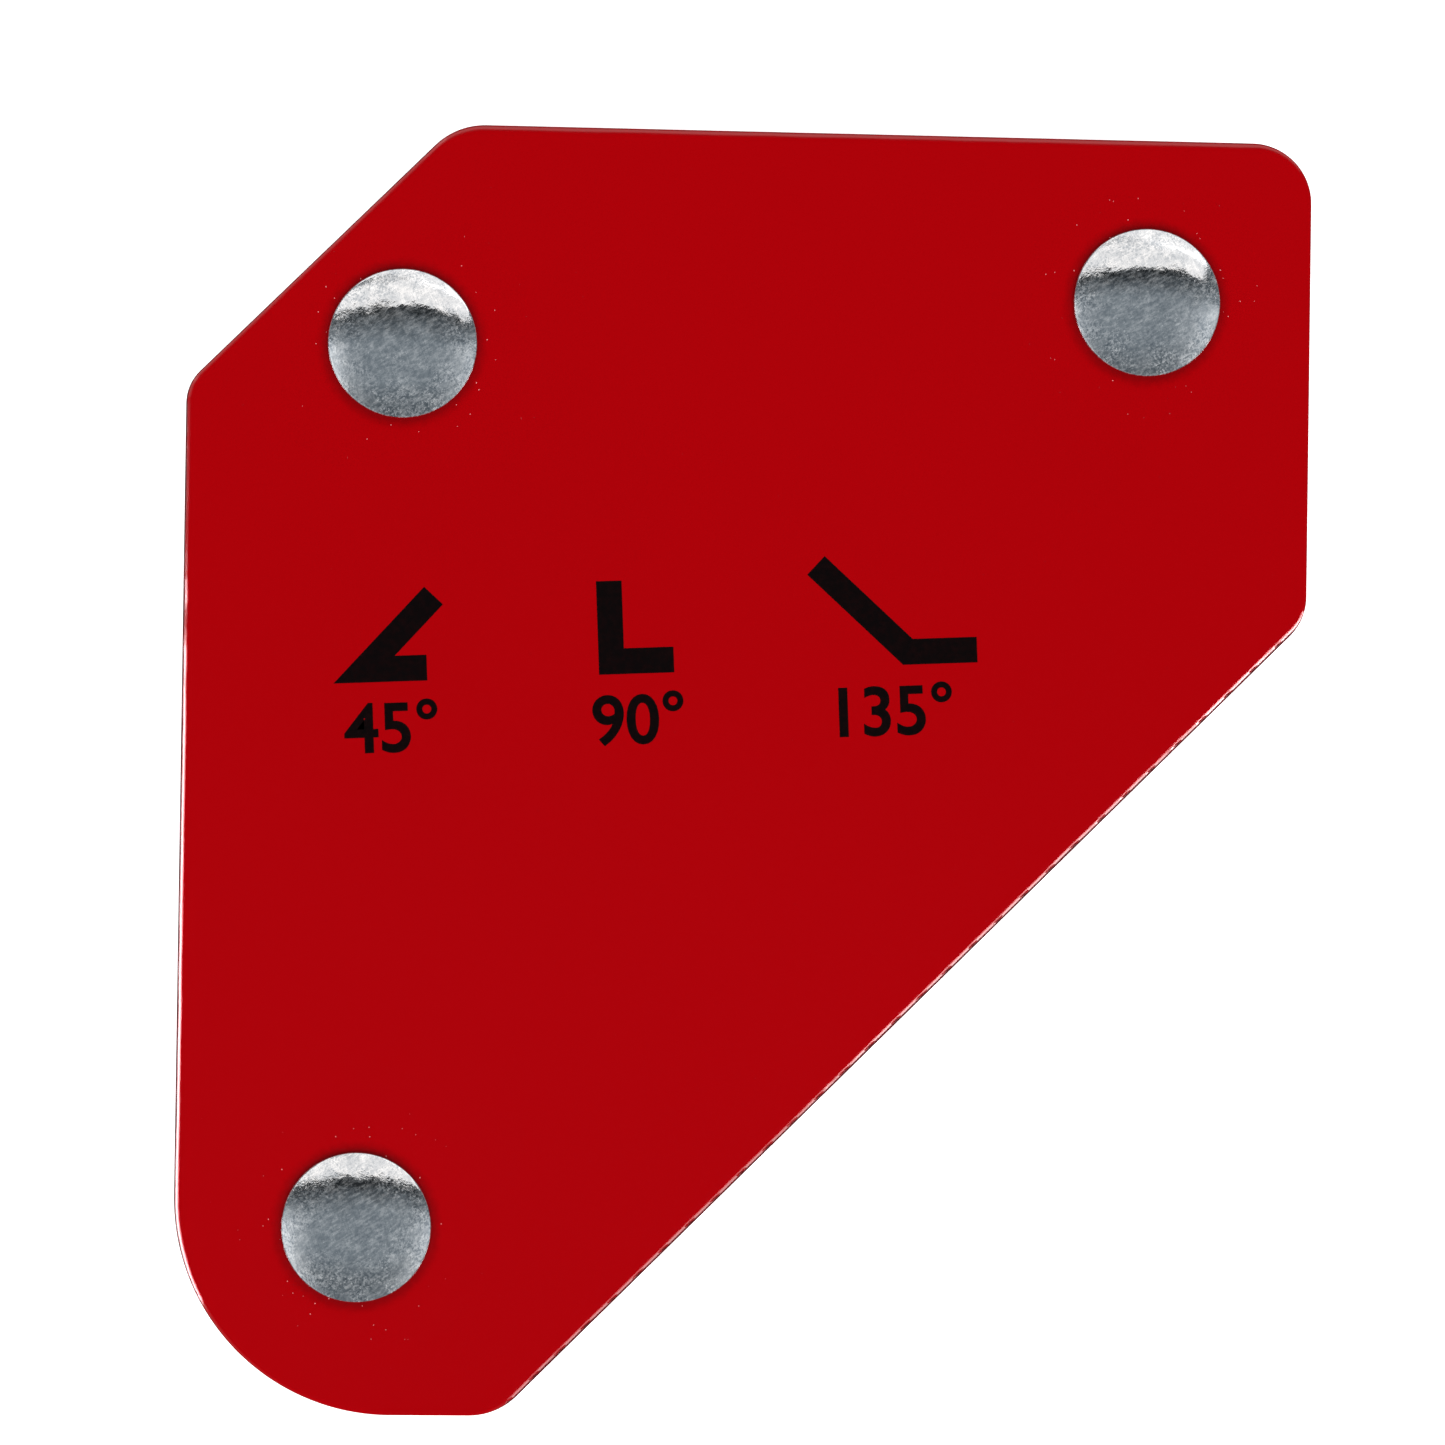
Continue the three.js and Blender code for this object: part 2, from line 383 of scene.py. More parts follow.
def zinc_plate():
    """Barrel plated zinc: the crown worn smooth with fine scratches, frosted towards the rim."""
    nodes = Nodes("zinc_plate")
    patches = nodes.noise(1.9, detail=3.0, roughness=0.6)
    blotches = nodes.noise(0.8, detail=4.0, roughness=0.65)
    frost = nodes.noise(0.14, detail=2.0, roughness=0.6)
    grains = nodes.cells(0.11, output="Color")
    scratch_a = nodes.noise(0.1, detail=1.0, stretch=(12, 1, 1), turn=32)
    scratch_b = nodes.noise(0.09, detail=1.0, stretch=(9, 1, 1), turn=-70)
    scratches = nodes.math("ADD", scratch_a, scratch_b)
    haze = nodes.noise(0.22, detail=4.0, roughness=0.7, stretch=(2.5, 1, 1), turn=32)
    from_crown = nodes.ramp(nodes.distance_to(RIVET_CENTRES), 2.0 * MM, 4.2 * MM, 0.25, 1.0)
    frosted = nodes.math("MULTIPLY", nodes.ramp(patches, 0.36, 0.6, 0.2, 1.0), from_crown)
    bloom = nodes.math("MULTIPLY", nodes.ramp(grains, 0.52, 0.75), frosted)
    dull = nodes.math("MULTIPLY", nodes.ramp(grains, 0.45, 0.3), frosted)
    colour = nodes.mix(nodes.ramp(scratches, 0.8, 1.2), (0.64, 0.65, 0.66), (0.8, 0.8, 0.8))
    colour = nodes.mix(nodes.ramp(blotches, 0.38, 0.62, 0.5, 0.0), colour, (0.4, 0.43, 0.46))
    colour = nodes.mix(nodes.math("MULTIPLY", dull, 0.45), colour, (0.16, 0.2, 0.24))
    # Haze and specks of white bloom scatter light instead of mirroring it.
    veil = nodes.ramp(haze, 0.42, 0.66, 0.0, 0.13)
    veil = nodes.math("ADD", nodes.math("MULTIPLY", bloom, 0.16), veil)
    metallic = nodes.math("SUBTRACT", 0.995, veil)
    roughness = nodes.ramp(frosted, 0.0, 1.0, 0.035, 0.07)
    relief = nodes.bump(blotches, 0.005)
    relief = nodes.bump(nodes.math("MULTIPLY", frost, frosted), 0.009, below=relief)
    relief = nodes.bump(scratches, 0.0014, below=relief)
    return nodes.finish(Base_Color=colour, Metallic=metallic, Roughness=roughness, Normal=relief)


def turned_steel():
    """Cut tube, with saw and tool marks round it and a first bloom of rust."""
    nodes = Nodes("turned_steel")
    rings = nodes.noise(0.25, detail=2.0, stretch=(50, 50, 1))
    bloom = nodes.ramp(nodes.noise(2.5, detail=5.0, roughness=0.65), 0.55, 0.72)
    colour = nodes.mix(rings, (0.33, 0.32, 0.3), (0.55, 0.54, 0.51))
    colour = nodes.mix(nodes.math("MULTIPLY", bloom, 0.55), colour, (0.2, 0.085, 0.035))
    roughness = nodes.ramp(bloom, 0.0, 1.0, 0.32, 0.65)
    metallic = nodes.ramp(bloom, 0.0, 1.0, 1.0, 0.45)
    relief = nodes.bump(rings, 0.02)
    return nodes.finish(Base_Color=colour, Metallic=metallic, Roughness=roughness, Normal=relief)


def sintered_ferrite():
    """Dark grey ceramic magnet: fine grain, grinding lines, brownish stains and painted glints."""
    nodes = Nodes("sintered_ferrite")
    grain = nodes.noise(0.12, detail=4.0, roughness=0.7)
    stain = nodes.noise(4.0, detail=3.0)
    lines = nodes.noise(0.3, detail=2.0, stretch=(1, 30, 1), turn=8)
    # Painted glints: pale specks in the colour stand in for grains catching the light.
    painted_glints = nodes.math("LESS_THAN", nodes.cells(0.16), 0.11)
    colour = nodes.mix(grain, (0.014, 0.0135, 0.015), (0.042, 0.041, 0.043))
    colour = nodes.mix(nodes.ramp(stain, 0.5, 0.75, 0.0, 0.5), colour, (0.085, 0.07, 0.06))
    colour = nodes.mix(nodes.math("MULTIPLY", painted_glints, 0.5), colour, (0.2, 0.2, 0.21))
    roughness = nodes.ramp(grain, 0.3, 0.7, 0.42, 0.7)
    relief = nodes.bump(grain, 0.02)
    relief = nodes.bump(lines, 0.008, below=relief)
    return nodes.finish(Base_Color=colour, Roughness=roughness, Normal=relief, IOR=1.9)


def black_ink():
    """Pad printed ink, slightly uneven and duller than the paint under it."""
    nodes = Nodes("black_ink")
    cover = nodes.noise(0.4, detail=4.0, roughness=0.6)
    colour = nodes.mix(nodes.ramp(cover, 0.35, 0.75), (0.0015, 0.0005, 0.0005), (0.004, 0.0006, 0.0006))
    roughness = nodes.ramp(cover, 0.3, 0.7, 0.16, 0.24)
    relief = nodes.bump(cover, 0.003)
    return nodes.finish(Base_Color=colour, Roughness=roughness, Normal=relief, Specular_IOR_Level=0.1)


def table_top():
    """Plain pale table, lit a little from inside like a light table."""
    nodes = Nodes("table_top")
    cloud = nodes.noise(60, detail=2.0)
    colour = nodes.mix(cloud, (0.8, 0.8, 0.8), (0.84, 0.84, 0.84))
    nodes.shader.inputs["Emission Color"].default_value = (1.0, 1.0, 1.0, 1.0)
    nodes.shader.inputs["Emission Strength"].default_value = 0.75
    return nodes.finish(Base_Color=colour, Roughness=0.7)


# --- Side plates ------------------------------------------------------------------------

def outline_corners():
    """The outline's corners, anticlockwise, each a point and the radius that rounds it."""
    left, bottom, right, top = PLATE_LOW.x, PLATE_LOW.y, PLATE_HIGH.x, PLATE_HIGH.y
    diagonal_foot = right - (top - bottom - RIGHT_EDGE_LENGTH)
    return [
        (Vector((left, bottom)), RADIUS_LEFT_TO_BOTTOM),
        (Vector((diagonal_foot, bottom)), RADIUS_DIAGONAL_TO_BOTTOM),
        (Vector((right, top - RIGHT_EDGE_LENGTH)), RADIUS_RIGHT_TO_DIAGONAL),
        (Vector((right, top)), RADIUS_TOP_TO_RIGHT),
        (Vector((left + CORNER_CUT, top)), RADIUS_CUT_TO_TOP),
        (Vector((left, top - CORNER_CUT)), RADIUS_LEFT_TO_CUT),
    ]


def plate_outline():
    """(point, outward normal, rollover share) round the plate, about OUTLINE_STEP apart."""
    corners = outline_corners()
    arcs = []
    for i, (corner, radius) in enumerate(corners):
        to_before = (corners[i - 1][0] - corner).normalized()
        to_after = (corners[(i + 1) % len(corners)][0] - corner).normalized()
        half_angle = to_before.angle(to_after) / 2
        centre = corner + (to_before + to_after).normalized() * radius / math.sin(half_angle)
        first_normal = (corner + to_before * radius / math.tan(half_angle) - centre).normalized()
        sweep = math.pi - 2 * half_angle
        steps = math.ceil(radius * sweep / OUTLINE_STEP)
        before, after = ROLLOVER_SHARES[i - 1], ROLLOVER_SHARES[i]
        arc = []
        for step in range(steps + 1):
            normal = Matrix.Rotation(sweep * step / steps, 2) @ first_normal
            arc.append((centre + normal * radius, normal, before + (after - before) * step / steps))
        arcs.append(arc)
    samples = []
    for i, arc in enumerate(arcs):
        samples += arc
        start, normal, share = arc[-1]
        end = arcs[(i + 1) % len(arcs)][0][0]
        steps = math.ceil((end - start).length / OUTLINE_STEP)
        samples += [(start.lerp(end, step / steps), normal, share) for step in range(1, steps)]
    return samples


def edge_profile():
    """(inset, depth, wobble) from the outer face, over the rollover, down to the inner face.

    wobble says how much the ring wanders, from 0 to 1.
    """
    face = [(ROLLOVER_WIDTH + FACE_BORDER, 0.0, 0.0), (ROLLOVER_WIDTH + 0.02, 0.0, 0.6)]
    slope_width = ROLLOVER_WIDTH - ROLLOVER_SHOULDER
    slope = [(ROLLOVER_WIDTH - 0.02, 0.004, 1.0)]
    for share in (0.12, 0.3, 0.5, 0.7, 0.9, 1.0):
        across = slope_width * share
        slope.append((ROLLOVER_WIDTH - across, across * math.tan(ROLLOVER_SLOPE), 1.0))
    slope_drop = slope[-1][1]
    shoulder = []
    for turn in (25, 50, 75, 90):
        out, down = math.sin(math.radians(turn)), 1 - math.cos(math.radians(turn))
        drop = slope_drop + (ROLLOVER_DROP - slope_drop) * down
        shoulder.append((ROLLOVER_SHOULDER * (1 - out), drop, 0.8))
    rollover = slope + shoulder
    cut_end = PLATE_THICKNESS * CUT_SHARE
    wall = [(0.0, ROLLOVER_DROP + 0.12, 0.1), (0.0, cut_end, 0.15)]
    tear = [(TEAR_OUT, cut_end + 0.12, 1.0), (TEAR_OUT * 1.6, PLATE_THICKNESS - 0.3, 1.0)]
    inner = [(TEAR_OUT, PLATE_THICKNESS - BURR, 0.7), (TEAR_OUT + 0.05, PLATE_THICKNESS, 0.4),
             (TEAR_OUT + 0.5, PLATE_THICKNESS, 0.0)]
    return face + rollover + wall + tear + inner


def shear_mark(point):
    """Depth of the marks that the shear leaves at even steps along the diagonal edge."""
    foot, corner = outline_corners()[1][0], outline_corners()[2][0]
    along = (point - foot).dot((corner - foot).normalized())
    off_line = abs((point - foot).cross((corner - foot).normalized()))
    if off_line > SHEAR_MARK_WIDTH:
        return 0.0
    phase = abs((along / SHEAR_MARK_SPACING) % 1 - 0.5) * SHEAR_MARK_SPACING
    return SHEAR_MARK_DEPTH * max(0.0, 1 - phase / SHEAR_MARK_WIDTH)


def dish_profile():
    """(radius, depth) rings of the outer face round a rivet, in to the hole."""
    rim = [(DISH_RADIUS, 0.0), (DISH_RADIUS - 0.5, 0.06), (DISH_RADIUS - 1.0, 0.3)]
    at_head = [(HEAD_RADIUS + 0.25, 0.7), (HEAD_RADIUS - 0.1, 0.95), (HEAD_RADIUS - 0.6, 1.0)]
    return [(radius, DISH_DEPTH * share) for radius, share in rim + at_head + [(HOLE_RADIUS, 1.0)]]


def rolled_rings(mesh, outer_face_z, outward, seed):
    """Loops round the plate's edge, from its outer face to its inner one."""
    samples = plate_outline()
    rings = []
    for inset, depth, wobble in edge_profile():
        points = []
        rolled = depth < ROLLOVER_DROP
        marked = 0 < inset < ROLLOVER_WIDTH / 2
        for point, normal, share in samples:
            at = (*point, 0)
            mark = shear_mark(point) if marked else 0.0
            if rolled:
                ragged = wander(at, 2.6, seed) + 0.2 * wander(at, 0.7, seed + 3)
                size = share * (1 + ROLLOVER_RAGGED * ragged)
                across = inset * size
                down = depth * size * (1 + ROLLOVER_SAG * wander(at, 3.4, seed + 7))
            else:
                across = inset + EDGE_WOBBLE * wobble * abs(wander(at, 0.8, seed + inset * 40))
                down = depth
            flat = point - normal * (across + mark)
            down = min(down + SHEAR_MARK_DROP * mark, PLATE_THICKNESS)
            points.append((flat.x, flat.y, outer_face_z - outward * down))
        rings.append(add_loop(mesh, points))
    return rings


def punched_hole(mesh, centre, outer_face_z, outward):
    """Dished hole for a rivet. Gives its loops at the plate's outer and inner face."""
    profile = dish_profile() + [
        (HOLE_RADIUS, PLATE_THICKNESS - 1.5 * HOLE_CHAMFER),
        (HOLE_RADIUS + HOLE_CHAMFER, PLATE_THICKNESS),
    ]
    loops = []
    for radius, depth in profile:
        points = [centre + side * radius for side in directions_round(ROUND_SIDES)]
        loops.append(add_loop(mesh, [(x, y, outer_face_z - outward * depth) for x, y in points]))
    join_in_turn(mesh, loops)
    return loops[0], loops[-1]


def side_plate(name, outer_face_z, outward, material, seed):
    """One stamped plate. outward is 1 where its rolled face points up, -1 where down."""
    mesh = bmesh.new()
    rings = rolled_rings(mesh, outer_face_z, outward, seed)
    join_in_turn(mesh, rings)
    holes = [punched_hole(mesh, centre, outer_face_z, outward) for centre in RIVET_CENTRES]
    fill_between(mesh, [rings[0], *(outer for outer, _ in holes)])
    fill_between(mesh, [rings[-1], *(inner for _, inner in holes)])
    return finished_piece(mesh, f"{name}_stamping", material, [name], sharp_degrees=50)


# --- Rivets -----------------------------------------------------------------------------

def turned_mesh(profile, centre, surface):
    """A solid of revolution about an upright axis through centre.

    profile is (radius, z) pairs, starting and ending on the axis, and surface(x, y, z, radius)
    gives how far a point stands proud, in millimetres.
    """
    mesh = bmesh.new()
    loops = []
    for radius, z in profile[1:-1]:
        points = []
        for side in directions_round(ROUND_SIDES):
            x, y = side * radius
            points.append((centre.x + x, centre.y + y, z + surface(x, y, z, radius)))
        loops.append(add_loop(mesh, points))
    join_in_turn(mesh, loops)
    for loop, (_, z) in ((loops[0], profile[0]), (loops[-1], profile[-1])):
        cap_loop(mesh, loop, (centre.x, centre.y, z + surface(0, 0, z, 0)))
    return mesh


def head_profile(face_z, crown_z):
    """(radius, z) from the crown down over the dome and the rounded rim to the face."""
    rim_z = face_z + HEAD_RIM
    edge = HEAD_RADIUS - HEAD_EDGE_RADIUS
    rise = crown_z - rim_z
    ball = (edge ** 2 + rise ** 2) / (2 * rise)
    rings = 56
    dome = []
    for i in range(rings + 1):
        radius = edge * i / rings
        dome.append((radius, crown_z - ball + math.sqrt(ball ** 2 - radius ** 2)))
    rim_rings = 6
    lean = math.asin(edge / ball)
    for i in range(1, rim_rings + 1):
        angle = lean + (math.pi / 2 - lean) * i / rim_rings
        drop = HEAD_EDGE_RADIUS * (math.cos(lean) - math.cos(angle))
        dome.append((edge + HEAD_EDGE_RADIUS * (math.sin(angle) - math.sin(lean)), rim_z - drop))
    side = [(dome[-1][0] - 0.01, face_z + 0.12), (dome[-1][0] - 0.08, face_z + 0.01)]
    return dome + side


def tail_profile(plate_z, flat_z):
    """(radius, z) from the plate's face down the upset tail to its pressed flat."""
    rise = plate_z - flat_z
    # Shares of the tail's radius and of its height.
    shares = [(1.0, 0.02), (1.0, 0.3), (0.985, 0.45), (0.95, 0.6),
              (0.9, 0.73), (0.83, 0.84), (0.75, 0.91), (0.67, 0.96)]
    bulge = [(TAIL_RADIUS * across, plate_z - rise * down) for across, down in shares]
    pressed = [(TAIL_FLAT_RADIUS + 0.1, flat_z + 0.02), (TAIL_FLAT_RADIUS, flat_z)]
    return bulge + pressed + [(TAIL_FLAT_RADIUS * 0.5, flat_z), (0.0, flat_z)]


def rivet(place, material, seed):
    node = f"rivet_{place}"
    low, high = corners_of(node)
    face_z = PLATE_HIGH.z
    plain_top = face_z + HEAD_RIM / 2

    def surface(x, y, z, radius):
        """Dents and tumbling marks, on the head and the tail only."""
        if REAR_LOW.z - 0.05 < z < plain_top:
            return 0.0
        # The relief is drawn out along Z, so that it changes little down the dome.
        at = (x, y, z * 0.2)
        # The rim is pressed true against the die, so both die away towards it.
        from_rim = max(0.0, HEAD_RADIUS - radius)
        height = relief_height(at, DENTS, seed) * min(1.0, from_rim / DENT_MARGIN)
        marks = relief_height(at, TUMBLING_MARKS, seed + len(DENTS))
        height += marks * min(1.0, from_rim / TUMBLING_MARGIN)
        return abs(height) if z < REAR_LOW.z else min(height, high.z - z)

    shank = [(SHANK_RADIUS, face_z + 0.01), (SHANK_RADIUS, REAR_LOW.z - 0.02)]
    profile = head_profile(face_z, high.z - 0.02) + shank + tail_profile(REAR_LOW.z, low.z)
    mesh = turned_mesh(profile, centre_of(node), surface)
    return finished_piece(mesh, f"{node}_solid", material, [node], sharp_degrees=45)


# --- Spacer sleeves ---------------------------------------------------------------------

def spacer_sleeve(place, material, seed):
    node = f"spacer_sleeve_{place}"
    low, high = corners_of(node)
    centre = centre_of(node)
    steps = 24
    height = high.z - low.z - 2 * SLEEVE_CHAMFER
    outer = [(SLEEVE_RADIUS - SLEEVE_CHAMFER, low.z)]
    outer += [(SLEEVE_RADIUS, low.z + SLEEVE_CHAMFER + height * i / steps) for i in range(steps + 1)]
    outer += [(SLEEVE_RADIUS - SLEEVE_CHAMFER, high.z)]
    mouth = HOLE_RADIUS + HOLE_CHAMFER
    bore = [(mouth, high.z), (HOLE_RADIUS, high.z - HOLE_CHAMFER)]
    bore += [(HOLE_RADIUS, low.z + HOLE_CHAMFER), (mouth, low.z)]
    mesh = bmesh.new()
    loops = []
    for radius, z in outer + bore:
        points = []
        depth = SLEEVE_MARK_DEPTH if radius == SLEEVE_RADIUS else 0.0
        for side in directions_round(ROUND_SIDES):
            mark = depth * abs(wander((side.x * 2, side.y * 2, z * 3), 1.0, seed))
            flat = centre.xy + side * (radius - mark)
            points.append((flat.x, flat.y, z))
        loops.append(add_loop(mesh, points))
    join_in_turn(mesh, loops + loops[:1])
    return finished_piece(mesh, f"{node}_tube", material, [node])


# --- Magnets ----------------------------------------------------------------------------

def magnet_axes(node):
    """Middle of a block and its sides along the plates, the short one first, from its CAD mesh."""
    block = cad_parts[node]
    corners = [block.matrix_world @ vertex.co / MM for vertex in block.data.vertices]
    floor = min(corner.z for corner in corners)
    low_corners = [corner for corner in corners if corner.z < floor + 0.01]
    start = low_corners[0]
    steps = [(corner - start).xy for corner in low_corners if (corner - start).length > 0.1]
    steps = {tuple(round(c, 3) for c in step) for step in steps}
    # The longest of the steps to the other corners is the diagonal.
    short_side, long_side, _ = sorted(map(Vector, steps), key=lambda step: step.length)
    return centre_of(node), short_side, long_side


def ferrite_block(node, material, seed):
    """A pressed and ground block whose edges and corners are chipped."""
    centre, across, along = magnet_axes(node)
    low, high = corners_of(node)
    half = Vector((across.length / 2, along.length / 2, (high.z - low.z) / 2))
    x_axis, y_axis = across.normalized(), along.normalized()
    mesh = bmesh.new()
    bmesh.ops.create_cube(mesh, size=2.0)
    bmesh.ops.subdivide_edges(mesh, edges=mesh.edges[:], cuts=MAGNET_CUTS, use_grid_fill=True)
    for vertex in mesh.verts:
        # Rows crowd towards the edges, where the chips are.
        crowded = [math.copysign(1 - (1 - abs(c)) ** 1.6, c) for c in vertex.co]
        local = Vector([c * h for c, h in zip(crowded, half)])
        to_faces = sorted(h - abs(c) for c, h in zip(local, half))
        to_edge = to_faces[1]
        chips = 1.5 * max(0.0, wander(local, 1.7, seed)) + 0.25 * abs(wander(local, 0.5, seed + 5))
        size = MAGNET_CHIP * (0.22 + chips)
        bite = max(0.0, size - to_edge) * 0.5
        for axis in range(3):
            if half[axis] - abs(local[axis]) < size:
                local[axis] -= math.copysign(bite, local[axis])
        flat = x_axis * local.x + y_axis * local.y
        vertex.co = (centre.x + flat.x, centre.y + flat.y, centre.z + local.z)
    return finished_piece(mesh, f"{node}_block", material, [node], sharp_degrees=60)


# --- Printed angle marks ----------------------------------------------------------------

MARK_HEIGHT = 6.2
MARK_STROKE = 1.7
MARK_FOOT = 5.0
MARK_TILT = math.radians(2.8)
MARK_ROW_START = (-27.6, 0.9)  # lower left corner of the marks, from the plate's middle
# Angle, and where along the row the middle of its symbol and number stands.
MARKS = ((45, 4.0), (90, 20.4), (135, 37.6))
NUMERAL_HEIGHT = 3.2
NUMERAL_SHARE = 0.7  # height of a numeral as a share of the font's size
NUMERAL_BOLD = 0.08
NUMERAL_CURVE_STEPS = 6
NUMERAL_GAP = 1.4


def film(mesh, outline):
    """Raises a flat outline, a list of plane points, into a thin closed film."""
    low = add_loop(mesh, [(x, y, 0.0) for x, y in outline])
    high = add_loop(mesh, [(x, y, INK_THICKNESS) for x, y in outline])
    join_loops(mesh, low, high)
    mesh.faces.new(low)
    mesh.faces.new(high)


def angle_outline(degrees):
    """Outline of two bars that leave one corner at an angle, with mitred ends."""
    angle = math.radians(degrees)
    upward = Vector((math.cos(angle), math.sin(angle)))
    reach = MARK_HEIGHT / upward.y
    side = Vector((math.sin(angle), -math.cos(angle))) * MARK_STROKE
    inner = MARK_STROKE / math.tan(angle / 2)
    foot = max(MARK_FOOT, reach * upward.x)
    return [Vector((0, 0)), Vector((foot, 0)), Vector((foot, MARK_STROKE)), Vector((inner, MARK_STROKE)),
            upward * reach + side, upward * reach]


def add_numeral(mesh, text, middle):
    """Degree number in Blender's own font, as a thin film centred on a place in the row."""
    curve = bpy.data.curves.new("numeral", "FONT")
    curve.body = text
    curve.size = NUMERAL_HEIGHT / NUMERAL_SHARE
    curve.offset = NUMERAL_BOLD
    curve.resolution_u = NUMERAL_CURVE_STEPS
    curve.extrude = INK_THICKNESS / 2
    holder = bpy.data.objects.new("numeral", curve)
    bpy.context.scene.collection.objects.link(holder)
    bpy.context.view_layer.update()
    flat = bpy.data.meshes.new_from_object(holder)
    spread = [vertex.co.x for vertex in flat.vertices]
    start = middle - (min(spread) + max(spread)) / 2
    flat.transform(Matrix.Translation((start, 0, INK_THICKNESS / 2)))
    mesh.from_mesh(flat)
    bpy.data.objects.remove(holder)
    bpy.data.curves.remove(curve)
    bpy.data.meshes.remove(flat)


def angle_mark(degrees, middle, material):
    """An angle symbol with its number of degrees below it."""
    mesh = bmesh.new()
    outline = angle_outline(degrees)
    ends = [point.x for point in outline]
    start = middle - (min(ends) + max(ends)) / 2
    lift = NUMERAL_HEIGHT + NUMERAL_GAP
    film(mesh, [(point.x + start, point.y + lift) for point in outline])
    add_numeral(mesh, f"{degrees}°", middle)
    bmesh.ops.remove_doubles(mesh, verts=mesh.verts, dist=0.0001)
    corner = PLATE_MIDDLE + Vector(MARK_ROW_START)
    place = Matrix.Translation((*corner, PLATE_HIGH.z)) @ Matrix.Rotation(MARK_TILT, 4, "Z")
    bmesh.ops.transform(mesh, matrix=place, verts=mesh.verts)
    return finished_piece(mesh, f"angle_mark_{degrees}", material)


# --- Stage ------------------------------------------------------------------------------

# Metres.
TABLE_SIZE = 10.0
BANK_DISTANCE = 0.9
STRIP_DISTANCE = 1.2
KEY_DISTANCE = 2.4


def table():
    mesh = bmesh.new()
    bmesh.ops.create_grid(mesh, x_segments=8, y_segments=8, size=TABLE_SIZE / 2)
    data = bpy.data.meshes.new("table")
    mesh.to_mesh(data)
    mesh.free()
    data.materials.append(table_top())
    top = bpy.data.objects.new("table", data)
    top.location.z = CAD_BOX[0].z - 0.01 * MM
    # The object's gloss shows the tent around the table, not the table.
    top.visible_glossy = False
    bpy.context.scene.collection.objects.link(top)


def camera():
    data = bpy.data.cameras.new("camera")
    data.sensor_width = SENSOR
    data.lens = SENSOR * CAMERA_DISTANCE / VIEW_HEIGHT
    data.clip_start = 0.01
    data.clip_end = 20
    eye = bpy.data.objects.new("camera", data)
    turn = (
        Matrix.Rotation(-CAMERA_LEAN_LEFT, 4, "Y")
        @ Matrix.Rotation(CAMERA_LEAN_DOWN, 4, "X")
        @ Matrix.Rotation(CAMERA_ROLL, 4, "Z")
    )
    aim = Vector((*(PLATE_MIDDLE + Vector(CAMERA_AIM)), PLATE_HIGH.z)) * MM
    back = turn @ Vector((0, 0, CAMERA_DISTANCE * MM))
    eye.matrix_world = Matrix.Translation(aim + back) @ turn
    bpy.context.scene.collection.objects.link(eye)
    bpy.context.scene.camera = eye


def area_light(name, azimuth, from_zenith, distance, size, radiance,
               glossy=True, diffuse=True, tint=(1, 1, 1), lit_only=None):
    """A rectangular light that faces the object. Angles are in degrees, azimuth from +X.

    lit_only may be a collection, and then the light falls on its objects and nothing else.
    """
    data = bpy.data.lights.new(name, "AREA")
    data.shape = "RECTANGLE"
    data.size, data.size_y = size
    # A rectangle's radiance is its watts over four times its area.
    data.energy = 4 * radiance * size[0] * size[1]
    data.color = tint
    light = bpy.data.objects.new(name, data)
    turn, lean = math.radians(azimuth), math.radians(from_zenith)
    away = Vector((math.cos(turn) * math.sin(lean), math.sin(turn) * math.sin(lean), math.cos(lean)))
    light.location = away * distance
    light.rotation_euler = away.to_track_quat("Z", "Y").to_euler()
    light.visible_camera = False
    light.visible_glossy = glossy
    light.visible_diffuse = diffuse
    light.light_linking.receiver_collection = lit_only
    bpy.context.scene.collection.objects.link(light)


def lights(plates):
    """All the lamps. plates are the stampings, whose rolled edges have strips of their own."""
    rolled_edges = bpy.data.collections.new("rolled_edges")
    for plate in plates:
        rolled_edges.objects.link(plate)
    warm, plain = (1.0, 0.97, 0.95), (1.0, 1.0, 1.0)
    # Two long softboxes close behind the top edge: the bright crescent in each rivet head.
    area_light("bank_behind", 90, 40.5, BANK_DISTANCE, (1.98, 0.32), 1.0, tint=warm)
    area_light("bank_behind_low", 80, 61.5, BANK_DISTANCE, (1.6, 0.34), 1.0, tint=warm)
    # Strips that are seen only as highlights on the rolled edges. The one over the corner cut
    # is broad and dim, like the bank behind the top edge. The rest are narrow and bright.
    for name, azimuth, from_zenith, size, radiance, tint in (
        ("strip_left", 196, 62, (0.69, 0.21), 30.0, plain),
        ("strip_cut", 142, 60, (1.0, 0.5), 1.0, warm),
        ("strip_right_0", -25, 69.5, (0.46, 0.16), 24.0, plain),
        ("strip_right_1", -39, 65.5, (0.13, 0.16), 12.0, plain),
        ("strip_right_2", -47, 64.5, (0.2, 0.16), 6.0, plain),
    ):
        area_light(name, azimuth, from_zenith, STRIP_DISTANCE, size, radiance,
                   diffuse=False, tint=tint, lit_only=rolled_edges)
    # Broad light from the front, too soft to be seen in the gloss.
    area_light("key", -90, 30, KEY_DISTANCE, (2.8, 2.8), 3.1, glossy=False)


def ramp_node(tree, value, low, high, stops):
    """Grey levels along a value: stops are (value, level) pairs between low and high."""
    spread = tree.nodes.new("ShaderNodeMapRange")
    spread.inputs["From Min"].default_value = low
    spread.inputs["From Max"].default_value = high
    tree.links.new(value, spread.inputs["Value"])
    ramp = tree.nodes.new("ShaderNodeValToRGB")
    tree.links.new(spread.outputs["Result"], ramp.inputs["Fac"])
    elements = ramp.color_ramp.elements
    while len(elements) < len(stops):
        elements.new(0.5)
    for element, (place, level) in zip(elements, stops):
        element.position = (place - low) / (high - low)
        element.color = (level, level, level, 1.0)
    return ramp.outputs["Color"]


